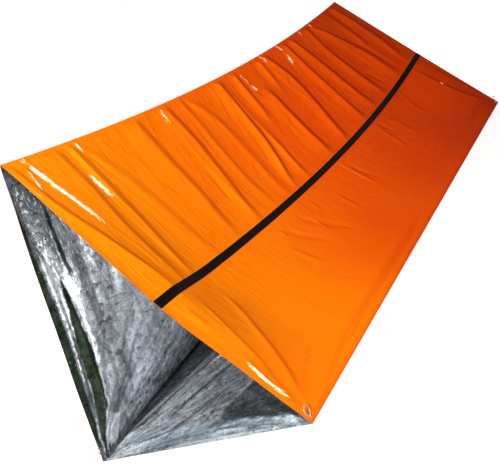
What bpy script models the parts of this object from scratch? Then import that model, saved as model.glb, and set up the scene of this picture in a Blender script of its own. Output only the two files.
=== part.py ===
"""Emergency tube tent: a tube of orange film lined with silver foil, pitched as a ridge tent on pegs.

Metres, +Z up. The ridge runs along Y and the photographed entrance faces -Y. The origin is on the ground,
at the middle of the floor's underside. The ridge sags between its ends. The film can't stretch, so once
round the tube measures the same everywhere, and each wall hangs inward by just what the sagging ridge
leaves slack.
"""

from math import cos, hypot, pi, radians, sin, sqrt

import bmesh
import bpy
from mathutils import Vector

# The pitched tube
TUBE_LENGTH = 2.400
TUBE_ROUND = 3.000
FRONT_FLOOR_WIDTH = 0.874
REAR_FLOOR_WIDTH = 1.023
RIDGE_SAG = 0.064
FRONT_EDGE_HOLLOW = 0.017
REAR_EDGE_HOLLOW = 0.0025
HANG_LOW_SHARE = 1.25

# The laminate's two plies, each wall's film outside its foil
PLY_THICKNESS = 0.0004
PLY_GAP = 0.0003
FOLD_CLEARANCE = 0.0004
RIDGE_CLEARANCE = 0.0016

# Soft folds that hang from the ridge
FOLD_DEPTH = 0.011
FOLD_COUNT = 7
FOLD_LEAN_SHARE = 0.45
FOLD_DRIFT_SHARE = 0.22

# The black band on each wall
STRIPE_WIDTH = 0.030
STRIPE_THICKNESS = 0.0003
STRIPE_FROM_RIDGE = 0.557
STRIPE_BOW = 0.017

# The wire pegs
PEG_WIRE = 0.0035
PEG_DEPTH = 0.150
PEG_POINT = 0.012
PEG_POINT_SHARE = 0.25
PEG_FROM_FOLD = 0.005
PEG_FROM_END = 0.015
PEG_EYE_WIDTH = 0.026
PEG_EYE_HEIGHT = 0.032
PEG_EYE_CLEARANCE = 0.0005
PEG_HOLE_CLEARANCE = 0.0006
PEG_EYE_START = radians(-52)
PEG_EYE_END = radians(243)
CUTTER_OVERRUN = 0.005

# How finely the walls and pegs are divided
LENGTH_STEPS = 32
ROWS_ABOVE_STRIPE = 8
ROWS_BELOW_STRIPE = 6
EYE_STEPS = 20
HOLE_SIDES = 16

RIGHT, LEFT = 1, -1
FLOOR_STACK = 2 * PLY_THICKNESS + PLY_GAP
ORANGE = (0.90, 0.24, 0.01, 1.0)
SILVER = (0.72, 0.74, 0.76, 1.0)
BLACK = (0.015, 0.014, 0.014, 1.0)
STEEL = (0.58, 0.57, 0.55, 1.0)


def clear_scene():
    for thing in list(bpy.data.objects):
        bpy.data.objects.remove(thing)


def new_collection(name, hidden=False):
    made = bpy.data.collections.new(name)
    bpy.context.scene.collection.children.link(made)
    made.hide_render = hidden
    return made


def new_material(name, colour, roughness, metallic):
    made = bpy.data.materials.new(name)
    made.use_nodes = True
    made.diffuse_color = colour
    shader = made.node_tree.nodes["Principled BSDF"]
    shader.inputs["Base Color"].default_value = colour
    shader.inputs["Roughness"].default_value = roughness
    shader.inputs["Metallic"].default_value = metallic
    return made


# Shape of the pitched tube: along runs from 0 at the front to 1 behind, down from the ridge to the floor
def floor_width(along):
    return FRONT_FLOOR_WIDTH + (REAR_FLOOR_WIDTH - FRONT_FLOOR_WIDTH) * along


def wall_length(along):
    """What once round the tube leaves for one wall."""
    return (TUBE_ROUND - floor_width(along)) / 2


def end_height(along, hollow):
    """Ridge height at an end whose edges hang in by hollow, which takes 8/3 hollow^2 / length of each."""
    wall = wall_length(along)
    chord = wall - 8 * hollow**2 / (3 * wall)
    return sqrt(chord**2 - (floor_width(along) / 2) ** 2)


def ridge_height(along):
    front = end_height(0, FRONT_EDGE_HOLLOW)
    rear = end_height(1, REAR_EDGE_HOLLOW)
    return front + (rear - front) * along - RIDGE_SAG * 4 * along * (1 - along)


def wall_hollow(along):
    """How far the wall's middle hangs inward: the arc that takes up the wall's spare length."""
    chord = hypot(floor_width(along) / 2, ridge_height(along))
    spare = max(wall_length(along) - chord, 0)
    return sqrt(chord * spare * 3 / 8)


def hang_profile(down):
    """How the wall's hang is spread: most below its middle, so that the walls stay apart at the ridge."""
    deepest = HANG_LOW_SHARE / (HANG_LOW_SHARE + 1)
    return (down / deepest) ** HANG_LOW_SHARE * (1 - down) / (1 - deepest)


def fold_offset(along, down):
    """Soft folds that fan down from the ridge and die out at the ends, the ridge and the floor."""
    turn = FOLD_COUNT * along - FOLD_LEAN_SHARE * down + FOLD_DRIFT_SHARE * sin(2 * pi * along)
    fade_down = 4 * down * (1 - down) ** 2
    fade_along = 1 - (2 * along - 1) ** 6
    return FOLD_DEPTH * sin(2 * pi * turn) * fade_down * fade_along


def wall_point(along, down, side):
    """A point on the surface midway between a wall's two plies."""
    y = TUBE_LENGTH * (along - 1 / 2)
    top = Vector((RIDGE_CLEARANCE / 2, y, ridge_height(along)))
    foot = Vector((floor_width(along) / 2, y, FLOOR_STACK + FOLD_CLEARANCE + PLY_THICKNESS))
    chord = foot - top
    inward = Vector((chord.z, 0, -chord.x)).normalized()
    hang = wall_hollow(along) * hang_profile(down) + fold_offset(along, down)
    point = top + chord * down + inward * hang
    point.x *= side
    return point


def wall_rows():
    """Shares of the way down the front edge where the wall has a row, two of them the stripe's edges."""
    upper = (STRIPE_FROM_RIDGE - STRIPE_WIDTH / 2) / wall_length(0)
    lower = (STRIPE_FROM_RIDGE + STRIPE_WIDTH / 2) / wall_length(0)
    above = [upper * i / ROWS_ABOVE_STRIPE for i in range(ROWS_ABOVE_STRIPE + 1)]
    below = [lower + (1 - lower) * i / ROWS_BELOW_STRIPE for i in range(ROWS_BELOW_STRIPE + 1)]
    return above + below


def bowed(down, along):
    """Where a row lies at along: the stripe dips behind the middle, and its neighbours share the dip."""
    centre = STRIPE_FROM_RIDGE / wall_length(0)
    dip = STRIPE_BOW / wall_length(0) * 27 / 4 * along**2 * (1 - along)
    return down + dip * min(down / centre, (1 - down) / (1 - centre))


def bent_sheet(name, rows, side, lift, thickness, collection):
    """A grid bent to the wall, set off from it by lift, outwards if positive, and thickened that way."""
    mesh = bpy.data.meshes.new(name)
    grid = bmesh.new()
    bmesh.ops.create_grid(grid, x_segments=LENGTH_STEPS, y_segments=len(rows) - 1, size=1 / 2)
    for vertex in grid.verts:
        along = round((vertex.co.x + 1 / 2) * LENGTH_STEPS) / LENGTH_STEPS
        row = round((vertex.co.y + 1 / 2) * (len(rows) - 1))
        vertex.co = wall_point(along, bowed(rows[row], along), side)
    if side == RIGHT:
        bmesh.ops.reverse_faces(grid, faces=grid.faces)
    bmesh.ops.triangulate(grid, faces=grid.faces, quad_method="FIXED")
    grid.normal_update()
    for vertex in grid.verts:
        vertex.co += vertex.normal * lift
    grid.to_mesh(mesh)
    grid.free()
    mesh.shade_smooth()
    sheet = bpy.data.objects.new(name, mesh)
    collection.objects.link(sheet)
    solid = sheet.modifiers.new("thickness", "SOLIDIFY")
    solid.thickness = thickness
    solid.offset = 1 if lift > 0 else -1
    return sheet


def flat_sheet(name, bottom, collection):
    """One ply of the floor, a tapered outline lying at its height, as a mesh that can be cut."""
    outline = bpy.data.curves.new(name, "CURVE")
    outline.dimensions = "2D"
    outline.fill_mode = "BOTH"
    outline.extrude = PLY_THICKNESS / 2
    spline = outline.splines.new("POLY")
    front = FRONT_FLOOR_WIDTH / 2 + PLY_THICKNESS
    rear = REAR_FLOOR_WIDTH / 2 + PLY_THICKNESS
    end = TUBE_LENGTH / 2
    corners = [(-front, -end), (front, -end), (rear, end), (-rear, end)]
    spline.points.add(len(corners) - 1)
    for point, (x, y) in zip(spline.points, corners):
        point.co = (x, y, 0, 1)
    spline.use_cyclic_u = True
    flat = bpy.data.objects.new(name, outline)
    collection.objects.link(flat)
    flat.location.z = bottom + PLY_THICKNESS / 2
    return as_mesh(flat, collection)


def as_mesh(curve, collection):
    """The curve's own mesh, with the caps welded on, in the curve's place and under its name."""
    bpy.context.view_layer.update()
    graph = bpy.context.evaluated_depsgraph_get()
    mesh = bpy.data.meshes.new_from_object(curve.evaluated_get(graph))
    welded = bmesh.new()
    welded.from_mesh(mesh)
    bmesh.ops.remove_doubles(welded, verts=welded.verts, dist=PLY_THICKNESS / 10)
    bmesh.ops.recalc_face_normals(welded, faces=welded.faces)
    welded.to_mesh(mesh)
    welded.free()
    name = curve.name
    place = curve.matrix_world.copy()
    bpy.data.objects.remove(curve)
    made = bpy.data.objects.new(name, mesh)
    made.matrix_world = place
    collection.objects.link(made)
    return made


# The pegs and their holes
def peg_places():
    """Name and ground point of each peg, just inside the fold at a corner."""
    places = {}
    inset = PEG_FROM_END / TUBE_LENGTH
    for end, along in (("front", inset), ("rear", 1 - inset)):
        for hand, side in (("right", RIGHT), ("left", LEFT)):
            x = side * (floor_width(along) / 2 - PEG_FROM_FOLD)
            places[f"{end}_{hand}_peg"] = (Vector((x, TUBE_LENGTH * (along - 1 / 2), 0)), along)
    return places


def wall_steepness(along):
    """Rise over run of the wall's lowest row."""
    foot = wall_point(along, 1, RIGHT)
    above = wall_point(along, wall_rows()[-2], RIGHT)
    return (above.z - foot.z) / (foot.x - above.x)


def neck_height(along):
    """Where the shaft may start to bend: just clear of the sloping film that it has come through."""
    inward = PEG_FROM_FOLD + PEG_WIRE / 2 + 2 * (PLY_GAP / 2 + PLY_THICKNESS)
    foot = wall_point(along, 1, RIGHT).z
    return foot + inward * wall_steepness(along) + PEG_EYE_CLEARANCE


def make_peg(name, place, along, material, collection):
    """One wire, pointed at its foot and bent round at its top into an eye that stops short of closing."""
    wide = (PEG_EYE_WIDTH - PEG_WIRE) / 2
    tall = (PEG_EYE_HEIGHT - PEG_WIRE) / 2
    neck = neck_height(along)
    middle = neck + PEG_WIRE + tall
    heights = (-PEG_DEPTH, PEG_POINT - PEG_DEPTH, (neck - PEG_DEPTH) / 2, neck)
    path = [Vector((0, 0, height)) for height in heights]
    bend = Vector((0, wide * cos(PEG_EYE_START), middle + tall * sin(PEG_EYE_START)))
    path.append((path[-1] + bend) / 2 + Vector((0, -PEG_WIRE / 4, PEG_WIRE / 8)))
    for step in range(EYE_STEPS + 1):
        angle = PEG_EYE_START + (PEG_EYE_END - PEG_EYE_START) * step / EYE_STEPS
        path.append(Vector((0, wide * cos(angle), middle + tall * sin(angle))))
    wire = bpy.data.curves.new(name, "CURVE")
    wire.dimensions = "3D"
    wire.bevel_depth = PEG_WIRE / 2
    wire.bevel_resolution = 2
    wire.use_fill_caps = True
    spline = wire.splines.new("POLY")
    spline.points.add(len(path) - 1)
    for point, at in zip(spline.points, path):
        point.co = (*at, 1)
    spline.points[0].radius = PEG_POINT_SHARE
    peg = bpy.data.objects.new(name, wire)
    peg.location = place
    wire.materials.append(material)
    collection.objects.link(peg)
    return peg


def make_peg_cutter(name, place, along, collection):
    top = neck_height(along) + CUTTER_OVERRUN
    bpy.ops.mesh.primitive_cylinder_add(
        vertices=HOLE_SIDES,
        radius=PEG_WIRE / 2 + PEG_HOLE_CLEARANCE,
        depth=top + CUTTER_OVERRUN,
        location=place + Vector((0, 0, (top - CUTTER_OVERRUN) / 2)),
    )
    cutter = bpy.context.object
    cutter.name = name
    cutter.hide_render = True
    cutter.display_type = "WIRE"
    for holder in list(cutter.users_collection):
        holder.objects.unlink(cutter)
    collection.objects.link(cutter)
    return cutter


def cut(sheet, cutters):
    for cutter in cutters:
        hole = sheet.modifiers.new(cutter.name, "BOOLEAN")
        hole.operation = "DIFFERENCE"
        hole.solver = "EXACT"
        hole.object = cutter


def make_walls(collection, materials, cutters):
    rows = wall_rows()
    band = rows[ROWS_ABOVE_STRIPE : ROWS_ABOVE_STRIPE + 2]
    outside = PLY_GAP / 2 + PLY_THICKNESS + PLY_GAP
    for hand, side in (("right", RIGHT), ("left", LEFT)):
        holes = [cutter for name, cutter in cutters.items() if hand in name]
        film = bent_sheet(f"{hand}_wall_film", rows, side, PLY_GAP / 2, PLY_THICKNESS, collection)
        film.data.materials.append(materials["film"])
        cut(film, holes)
        foil = bent_sheet(f"{hand}_wall_foil", rows, side, -PLY_GAP / 2, PLY_THICKNESS, collection)
        foil.data.materials.append(materials["foil"])
        cut(foil, holes)
        stripe = bent_sheet(f"{hand}_stripe", band, side, outside, STRIPE_THICKNESS, collection)
        stripe.data.materials.append(materials["stripe"])


def make_floor(collection, materials, cutters):
    film = flat_sheet("floor_film", 0, collection)
    film.data.materials.append(materials["film"])
    cut(film, cutters.values())
    foil = flat_sheet("floor_foil", PLY_THICKNESS + PLY_GAP, collection)
    foil.data.materials.append(materials["foil"])
    cut(foil, cutters.values())


def main():
    clear_scene()
    tent = new_collection("emergency_tube_tent")
    tools = new_collection("cutters", hidden=True)
    materials = {
        "film": new_material("orange_film", ORANGE, 0.22, 0),
        "foil": new_material("silver_foil", SILVER, 0.24, 1),
        "stripe": new_material("black_band", BLACK, 0.45, 0),
        "peg": new_material("peg_wire", STEEL, 0.3, 1),
    }
    cutters = {}
    for name, (place, along) in peg_places().items():
        make_peg(name, place, along, materials["peg"], tent)
        cutters[name] = make_peg_cutter(f"{name}_hole", place, along, tools)
    make_floor(tent, materials, cutters)
    make_walls(tent, materials, cutters)


main()
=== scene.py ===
"""Looks of the emergency tube tent: creased orange film over crumpled foil, a black band, and wire pegs.

Metres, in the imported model's own frame. Each wall and the floor is a closed thin shell, worked out on a
grid that follows the same pitched tube as the CAD model, with the soft folds, creases and puckers that
the film takes when it is pulled up to a sagging ridge and down to its pegged corners.
"""

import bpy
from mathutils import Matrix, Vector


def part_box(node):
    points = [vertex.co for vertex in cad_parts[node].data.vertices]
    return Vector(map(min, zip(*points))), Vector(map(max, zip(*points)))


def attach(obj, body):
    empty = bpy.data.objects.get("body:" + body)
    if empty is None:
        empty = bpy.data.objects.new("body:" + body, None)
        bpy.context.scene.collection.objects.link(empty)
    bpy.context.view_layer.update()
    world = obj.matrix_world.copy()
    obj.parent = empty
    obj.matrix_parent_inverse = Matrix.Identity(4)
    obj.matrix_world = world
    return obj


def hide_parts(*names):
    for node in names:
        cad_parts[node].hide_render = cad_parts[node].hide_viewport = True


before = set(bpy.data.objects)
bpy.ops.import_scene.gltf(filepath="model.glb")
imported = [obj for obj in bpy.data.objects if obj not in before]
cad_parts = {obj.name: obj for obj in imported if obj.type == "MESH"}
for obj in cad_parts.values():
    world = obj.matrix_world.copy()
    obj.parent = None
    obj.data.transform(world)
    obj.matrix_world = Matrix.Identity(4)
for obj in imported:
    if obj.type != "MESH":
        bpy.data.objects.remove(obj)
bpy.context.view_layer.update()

from math import cos, pi, radians, sin

import bpy
import numpy as np
from mathutils import Matrix, Vector

# The pitched tube, with the CAD model's sizes
TUBE_LENGTH = 2.400
TUBE_ROUND = 3.000
FRONT_FLOOR_WIDTH = 0.874
REAR_FLOOR_WIDTH = 1.023
RIDGE_SAG = 0.064
FRONT_EDGE_HOLLOW = 0.017
REAR_EDGE_HOLLOW = 0.0025
HANG_LOW_SHARE = 1.25
PLY_THICKNESS = 0.0004
PLY_GAP = 0.0003
FOLD_CLEARANCE = 0.0004
RIDGE_CLEARANCE = 0.0016
FLOOR_STACK = 2 * PLY_THICKNESS + PLY_GAP
STRIPE_WIDTH = 0.030
STRIPE_THICKNESS = 0.0003
STRIPE_FROM_RIDGE = 0.557
STRIPE_BOW = 0.017
PEG_WIRE = 0.0035
PEG_DEPTH = 0.150
PEG_POINT = 0.012
PEG_FROM_FOLD = 0.005
PEG_FROM_END = 0.015
PEG_EYE_WIDTH = 0.026
PEG_EYE_HEIGHT = 0.032
PEG_EYE_START = radians(-52)
PEG_EYE_END = radians(243)
PEG_HOLE = 0.0026
MM = 0.001

# Sizes of the looks alone
WALL_SIDE = 1.03  # a wall's length down, rounded, that lines on it are drawn with
FLOOR_SPREAD = 0.149  # how much wider the floor is at the rear
FOLD_SCALE = 1.5
STEEPEST_PANEL = 0.32
FOIL_THICKNESS = 0.0003
FOIL_FOOT_OFF = 0.00012  # how far the wall's foil ends above the floor's
FILM_TUCK_OUT = ((0.00093, 0.00125), (0.00092, 0.0006), (0.00086, 0.00004))
FILM_TUCK_IN = ((0.00053, 0.00125), (0.00050, 0.0006), (0.00048, 0.00004))
FLOOR_FILM_OUT = 0.0004  # how far the floor's film reaches past its nominal side
FLOOR_FOIL_IN = 0.0006  # and how far its foil stays short of it
BAND_OFF = 0.00025
BAND_CROWN = 0.00012
HAIR = 0.00002  # the least way from the middle plane, and from the ground
GROUND_DROP = 0.0006  # how far the stage's floor lies below the tent's
# Where the pieces start to read the crumple and the sheet's noise, so that none repeats another
LEFT_CRUMPLE_FROM = 7.0
FLOOR_CRUMPLE_FROM = 3.0
FLOOR_SHEET_FROM = 0.6
CAMERA_PLACE = (1.5867, -2.4649, 0.8949)
CAMERA_ANGLES = (38.142, 12.600, -31.904)  # round the tent, above it and rolled, in degrees
FOCAL_PIXELS = 722.2
PICTURE_WIDTH = 500

RIGHT, LEFT = 1, -1


# Number fields
def ease(value):
    """A smooth step from 0 to 1 as value goes from 0 to 1."""
    value = np.clip(value, 0, 1)
    return value * value * (3 - 2 * value)


def gradients(seed):
    turns = np.random.default_rng(seed).uniform(0, 2 * pi, (256, 256))
    return np.cos(turns), np.sin(turns)


def noise(x, y, seed):
    """Smooth gradient noise, about -1 to 1, with features one unit wide."""
    across, up = gradients(seed)
    column = np.floor(x).astype(int)
    row = np.floor(y).astype(int)
    in_x = x - column
    in_y = y - row
    ease_x = in_x**3 * (in_x * (in_x * 6 - 15) + 10)
    ease_y = in_y**3 * (in_y * (in_y * 6 - 15) + 10)

    def corner(dx, dy):
        at = ((column + dx) % 256, (row + dy) % 256)
        return across[at] * (in_x - dx) + up[at] * (in_y - dy)

    low = corner(0, 0) + (corner(1, 0) - corner(0, 0)) * ease_x
    high = corner(0, 1) + (corner(1, 1) - corner(0, 1)) * ease_x
    return 1.5 * (low + (high - low) * ease_y)


def creased(x, y, seed):
    """Noise folded at its zero lines, so that it is made of soft facets with sharp ridges between them."""
    return 1 - 2 * np.abs(noise(x, y, seed))


def hermite(part, start, leaving, stop, arriving):
    """A cubic from start to stop as part goes from 0 to 1, with its slopes at both ends."""
    return (
        (2 * part**3 - 3 * part**2 + 1) * start
        + (part**3 - 2 * part**2 + part) * leaving
        + (3 * part**2 - 2 * part**3) * stop
        + (part**3 - part**2) * arriving
    )


def smooth_curve(places, values, at):
    """A smooth curve through the values, carried on straight past both ends."""
    places = np.asarray(places, float)
    values = np.asarray(values, float)
    slopes = np.gradient(values, places)
    inside = np.clip(at, places[0], places[-1])
    index = np.clip(np.searchsorted(places, inside, side="right") - 1, 0, len(places) - 2)
    gap = places[index + 1] - places[index]
    part = (inside - places[index]) / gap
    curve = hermite(part, values[index], gap * slopes[index], values[index + 1], gap * slopes[index + 1])
    return curve + np.where(at < places[0], slopes[0], slopes[-1]) * (at - inside)


def near_line(x, y, line):
    """Distance from a line of points, positive on its left as it runs on, and the share of the way along."""
    distance = np.full(x.shape, 1e6)
    place = np.zeros(x.shape)
    lengths = [np.hypot(b[0] - a[0], b[1] - a[1]) for a, b in zip(line, line[1:])]
    run = 0.0
    for (ax, ay), (bx, by), length in zip(line, line[1:], lengths):
        dx, dy = (bx - ax) / length, (by - ay) / length
        reach = np.clip((x - ax) * dx + (y - ay) * dy, 0, length)
        off_x = x - ax - reach * dx
        off_y = y - ay - reach * dy
        away = np.hypot(off_x, off_y)
        side = np.where(dy * off_x - dx * off_y < 0, -1.0, 1.0)
        closer = away < np.abs(distance)
        distance = np.where(closer, away * side, distance)
        place = np.where(closer, (run + reach) / sum(lengths), place)
        run += length
    return distance, place


def along_line(field, x, y, line, shape, reach, fade=0.15):
    """Adds shape(distance), faded at the line's two ends, to field within reach of the line."""
    points = np.asarray(line)
    low = points.min(0) - reach
    high = points.max(0) + reach
    near = (x > low[0]) & (x < high[0]) & (y > low[1]) & (y < high[1])
    if not near.any():
        return
    distance, place = near_line(x[near], y[near], line)
    ends = ease(place / fade) * ease((1 - place) / fade)
    field[near] += shape(distance) * ends


def ridge(height, width):
    return lambda distance: height * np.exp(-((distance / width) ** 2))


def lopsided(height, before, after):
    """A crease that climbs slowly on one side and drops quickly on the other."""
    def shape(distance):
        length = np.where(distance < 0, before, after)
        rounding = 0.25 * after
        away = np.sqrt(distance**2 + rounding**2) - rounding
        return height * np.exp(-away / length)
    return shape


# Shape of the pitched tube: along runs from 0 at the front to 1 behind, down from the ridge to the floor
def floor_width(along):
    return FRONT_FLOOR_WIDTH + (REAR_FLOOR_WIDTH - FRONT_FLOOR_WIDTH) * along


def wall_length(along):
    return (TUBE_ROUND - floor_width(along)) / 2


def end_height(along, hollow):
    wall = wall_length(along)
    chord = wall - 8 * hollow**2 / (3 * wall)
    return np.sqrt(chord**2 - (floor_width(along) / 2) ** 2)


def ridge_height(along):
    front = end_height(0.0, FRONT_EDGE_HOLLOW)
    rear = end_height(1.0, REAR_EDGE_HOLLOW)
    return front + (rear - front) * along - RIDGE_SAG * 4 * along * (1 - along)


def wall_hollow(along):
    chord = np.hypot(floor_width(along) / 2, ridge_height(along))
    return np.sqrt(chord * np.maximum(wall_length(along) - chord, 0) * 3 / 8)


def eased_hollow(along):
    """The hollow with its quick start behind both end edges drawn out over a longer way."""
    reach = 0.14
    step = 0.01
    hollow = wall_hollow(along)
    for end in (0.0, 1.0):
        start, stop, beyond = wall_hollow(np.abs(end - np.array([0.0, reach, reach + step])))
        part = np.clip(np.abs(along - end) / reach, 0, 1)
        curve = hermite(part, start, 0.6 * (stop - start), stop, (beyond - stop) / step * reach)
        hollow = np.where(part < 1, curve, hollow)
    return hollow


def hang_profile(down):
    deepest = HANG_LOW_SHARE / (HANG_LOW_SHARE + 1)
    return (down / deepest) ** HANG_LOW_SHARE * (1 - down) / (1 - deepest)


def wall_base(along, down, bow=0.0):
    """The right wall's smooth surface, midway between its plies, let out by the bow."""
    y = TUBE_LENGTH * (along - 0.5)
    top = np.stack([0 * along + RIDGE_CLEARANCE / 2, y, ridge_height(along)], -1)
    foot_height = FLOOR_STACK + FOLD_CLEARANCE + PLY_THICKNESS
    foot = np.stack([floor_width(along) / 2, y, 0 * along + foot_height], -1)
    chord = foot - top
    inward = np.stack([chord[..., 2], 0 * along, -chord[..., 0]], -1)
    inward /= np.linalg.norm(inward, axis=-1, keepdims=True)
    hollow = wall_hollow(along) * hang_profile(down) - bow
    return top + chord * down[..., None] + inward * hollow[..., None]


def stripe_share(along):
    """How far down the wall the band's middle lies."""
    dip = STRIPE_BOW / wall_length(0.0) * 27 / 4 * along**2 * (1 - along)
    return STRIPE_FROM_RIDGE / wall_length(0.0) + dip


def grid_normals(points):
    """Unit normals of a grid of points, out of the tent for a right wall gridded along, then down."""
    first = np.gradient(points, axis=0)
    second = np.gradient(points, axis=1)
    normals = np.cross(second, first)
    return normals / np.linalg.norm(normals, axis=-1, keepdims=True)


def thousandths(*rows):
    """Rows that begin with a line of points in thousandths, with those points as shares."""
    return [([tuple(value / 1000 for value in point) for point in line], *sizes) for line, *sizes in rows]


# Folds that fan down from the ridge: where each drops, at these shares down, then its drop and width in mm,
# the number of the fold that its slow rise starts from, and where it begins and ends
FOLD_DOWNS = (0.03, 0.15, 0.30, 0.45)
FOLDS = (
    ((0.008, 0.013, 0.028, 0.041), 4.0, 30, None, -1, 2),
    ((0.080, 0.082, 0.075, 0.073), 3.6, 34, 0, -1, 2),
    ((0.106, 0.109, 0.110, 0.103), 4.4, 38, 1, -1, 2),
    ((0.122, 0.146, 0.163, 0.168), 2.8, 48, 2, -1, 2),
    ((0.232, 0.236, 0.243, 0.236), 5.5, 46, 3, -1, 2),
    ((0.303, 0.311, 0.311, 0.301), 6.5, 44, 4, -1, 2),
    ((0.343, 0.348, 0.350, 0.352), 3.0, 34, 5, -1, 2),
    ((0.362, 0.392, 0.404, 0.400), 3.4, 50, 6, -1, 2),
    ((0.449, 0.454, 0.454, 0.434), 11.0, 46, 7, -1, 2),
    ((0.460, 0.470, 0.480, 0.474), 7.0, 40, 8, -1, 2),
    ((0.503, 0.507, 0.513, 0.516), 7.0, 44, 9, -1, 0.28),
    ((0.548, 0.560, 0.570, 0.572), 12.0, 62, 9, 0.10, 2),
    ((0.592, 0.598, 0.606, 0.612), 6.0, 40, 11, -1, 0.20),
    ((0.620, 0.648, 0.656, 0.646), 12.0, 62, 11, -1, 2),
    ((0.701, 0.714, 0.729, 0.733), 12.0, 50, 13, -1, 2),
    ((0.738, 0.762, 0.782, 0.790), 9.0, 54, 14, -1, 2),
    ((0.812, 0.820, 0.838, 0.848), 9.0, 50, 15, -1, 2),
    ((0.842, 0.884, 0.914, 0.922), 11.0, 54, 16, -1, 2),
    ((0.925, 0.935, 0.938, 0.945), 6.0, 44, 17, -1, 2),
    ((0.965, 0.972, 0.976, 0.974), 9.0, 54, 18, -1, 2),
)
# Sharp crests near the ridge, as (along, down) points in thousandths, with height and width in mm
CRESTS = thousandths(
    (((25, 30), (17, 70), (17, 110)), 1.8, 5),
    (((30, 15), (34, 100), (40, 180), (46, 260)), 3.0, 5),
    (((46, 240), (55, 350), (60, 460)), 1.2, 9),
    (((93, 110), (96, 190)), 2.2, 5),
    (((96, 180), (95, 300), (97, 460)), 1.4, 6),
    (((109, 0), (114, 70)), 2.0, 5),
    (((114, 50), (128, 200), (140, 300), (148, 370), (155, 460)), 1.2, 8),
    (((155, 20), (168, 80), (180, 120), (190, 210)), 1.0, 9),
    (((225, 20), (215, 110)), 1.0, 9),
    (((284, 0), (284, 90)), 2.2, 5),
    (((285, 80), (290, 150), (292, 250), (295, 330), (292, 480)), 1.5, 6),
    (((325, 40), (325, 310)), 1.0, 9),
    (((360, 20), (387, 130), (388, 210)), 1.2, 8),
    (((435, 40), (430, 150), (425, 250), (420, 360)), 1.2, 12),
    (((463, 160), (463, 280)), 1.0, 6),
    (((490, 80), (490, 210)), 1.0, 9),
    (((507, 15), (517, 60), (528, 100), (534, 125)), 2.6, 5),
    (((540, 180), (540, 360)), 1.0, 9),
    (((563, 410), (561, 470), (557, 520)), 1.2, 5),
    (((597, 0), (604, 30), (608, 60)), 2.2, 5),
    (((608, 50), (612, 100), (620, 150), (630, 220), (643, 310)), 1.6, 7),
    (((677, 10), (680, 80), (680, 120)), 2.4, 6),
    (((681, 100), (690, 280), (695, 380), (710, 460)), 1.2, 12),
    (((722, 40), (735, 120), (745, 180), (760, 250), (772, 330), (779, 410)), 1.6, 7),
    (((777, 0), (779, 30)), 2.2, 5),
    (((779, 20), (785, 80), (790, 150), (796, 210)), 1.6, 6),
    (((831, 0), (836, 35)), 2.2, 5),
    (((836, 30), (850, 80), (865, 130), (875, 200), (890, 300), (901, 410)), 1.6, 7),
    (((890, 10), (905, 70), (920, 120), (930, 210)), 1.2, 7),
    (((953, 10), (953, 150), (950, 200), (957, 310)), 1.5, 7),
    (((985, 100), (985, 200)), 1.2, 6),
)
# Short wrinkles and thin valleys of the wall, with height and width in mm
WRINKLES = thousandths(
    (((282, 240), (285, 300), (278, 410)), -1.2, 6),
    (((765, 340), (775, 430)), -1.2, 6),
    (((857, 340), (872, 420), (880, 490)), -1.5, 6),
    (((295, 590), (300, 620)), 1.2, 5),
    (((370, 650), (371, 710)), 1.2, 6),
    (((275, 650), (283, 780)), 0.9, 8),
    (((300, 590), (345, 750)), -1.2, 8),
    (((350, 590), (390, 760)), -1.3, 8),
    (((380, 680), (400, 790)), -1.2, 8),
    (((404, 600), (406, 640)), 1.2, 6),
    (((465, 640), (462, 770)), 1.0, 7),
    (((555, 550), (554, 650), (551, 760)), 1.6, 5),
    (((566, 610), (568, 710)), -1.5, 6),
    (((572, 660), (573, 740)), -1.0, 7),
    (((730, 560), (720, 660), (710, 770)), 1.4, 7),
    (((740, 560), (743, 670)), -1.5, 7),
    (((765, 600), (785, 650)), 1.3, 6),
    (((780, 640), (772, 750)), 1.1, 7),
    (((875, 550), (860, 660), (852, 760)), 0.9, 9),
    (((680, 820), (760, 760), (830, 700)), 0.8, 10),
    (((20, 570), (22, 660)), 1.2, 9),
)
# Creases that radiate from the pegged corners: points, height, slow side and quick side in mm
CORNER_CREASES = thousandths(
    (((12, 900), (20, 860), (30, 800), (37, 740), (42, 690), (47, 640), (50, 600), (53, 550)), 2.6, 14, 10),
    (((10, 965), (20, 950), (40, 890), (60, 820), (75, 760), (90, 700), (98, 650), (104, 590)), 4.6, 40, 12),
    (((12, 975), (25, 950), (60, 915), (105, 892)), 2.0, 20, 12),
    (((18, 770), (12.5, 820), (9.5, 860), (7.5, 900), (4, 965)), 3.0, 7, 6),
    (((22, 800), (18, 850), (13, 910), (8, 965)), 1.8, 6, 6),
    (((950, 530), (955, 700), (958, 800), (965, 880), (983, 965)), 4.5, 22, 10),
    (((984, 580), (988, 700), (990, 820), (992, 900)), 2.5, 12, 8),
)
# Painted highlights: pale glint streaks where the film is creased hardest: points, width in mm and strength
GLINTS = thousandths(
    (((25.5, -50), (28.5, 10), (31, 60), (36, 120), (41, 180), (46.5, 260), (50.5, 320)), 10, 1.0),
    (((14, 120), (18, 75), (22, 35)), 5, 0.72),
    (((90.5, 90), (94, 150), (96, 195), (97, 225)), 8, 0.85),
    (((109, 0), (111, 20), (113, 55)), 5, 0.9),
    (((286, 0), (284, 40), (284, 85)), 7, 0.65),
    (((512, 20), (518, 50), (524, 85)), 8, 0.58),
    (((522, 80), (526, 100), (531, 130)), 10, 0.66),
    (((598, -10), (604, 50)), 8, 0.60),
    (((672, -10), (678, 50)), 9, 0.62),
    (((677, 50), (681, 85), (680, 130)), 9, 0.66),
    (((775, -10), (781, 50)), 7, 0.52),
    (((829, -10), (838, 50)), 7, 0.52),
    (((17.5, 755), (13.5, 790), (9.5, 840), (9.2, 875), (9.5, 910), (7, 955)), 6, 1.0),
    (((957, 700), (957, 740)), 4, 0.6),
    (((988, 800), (989, 840)), 4, 0.5),
)
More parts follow.
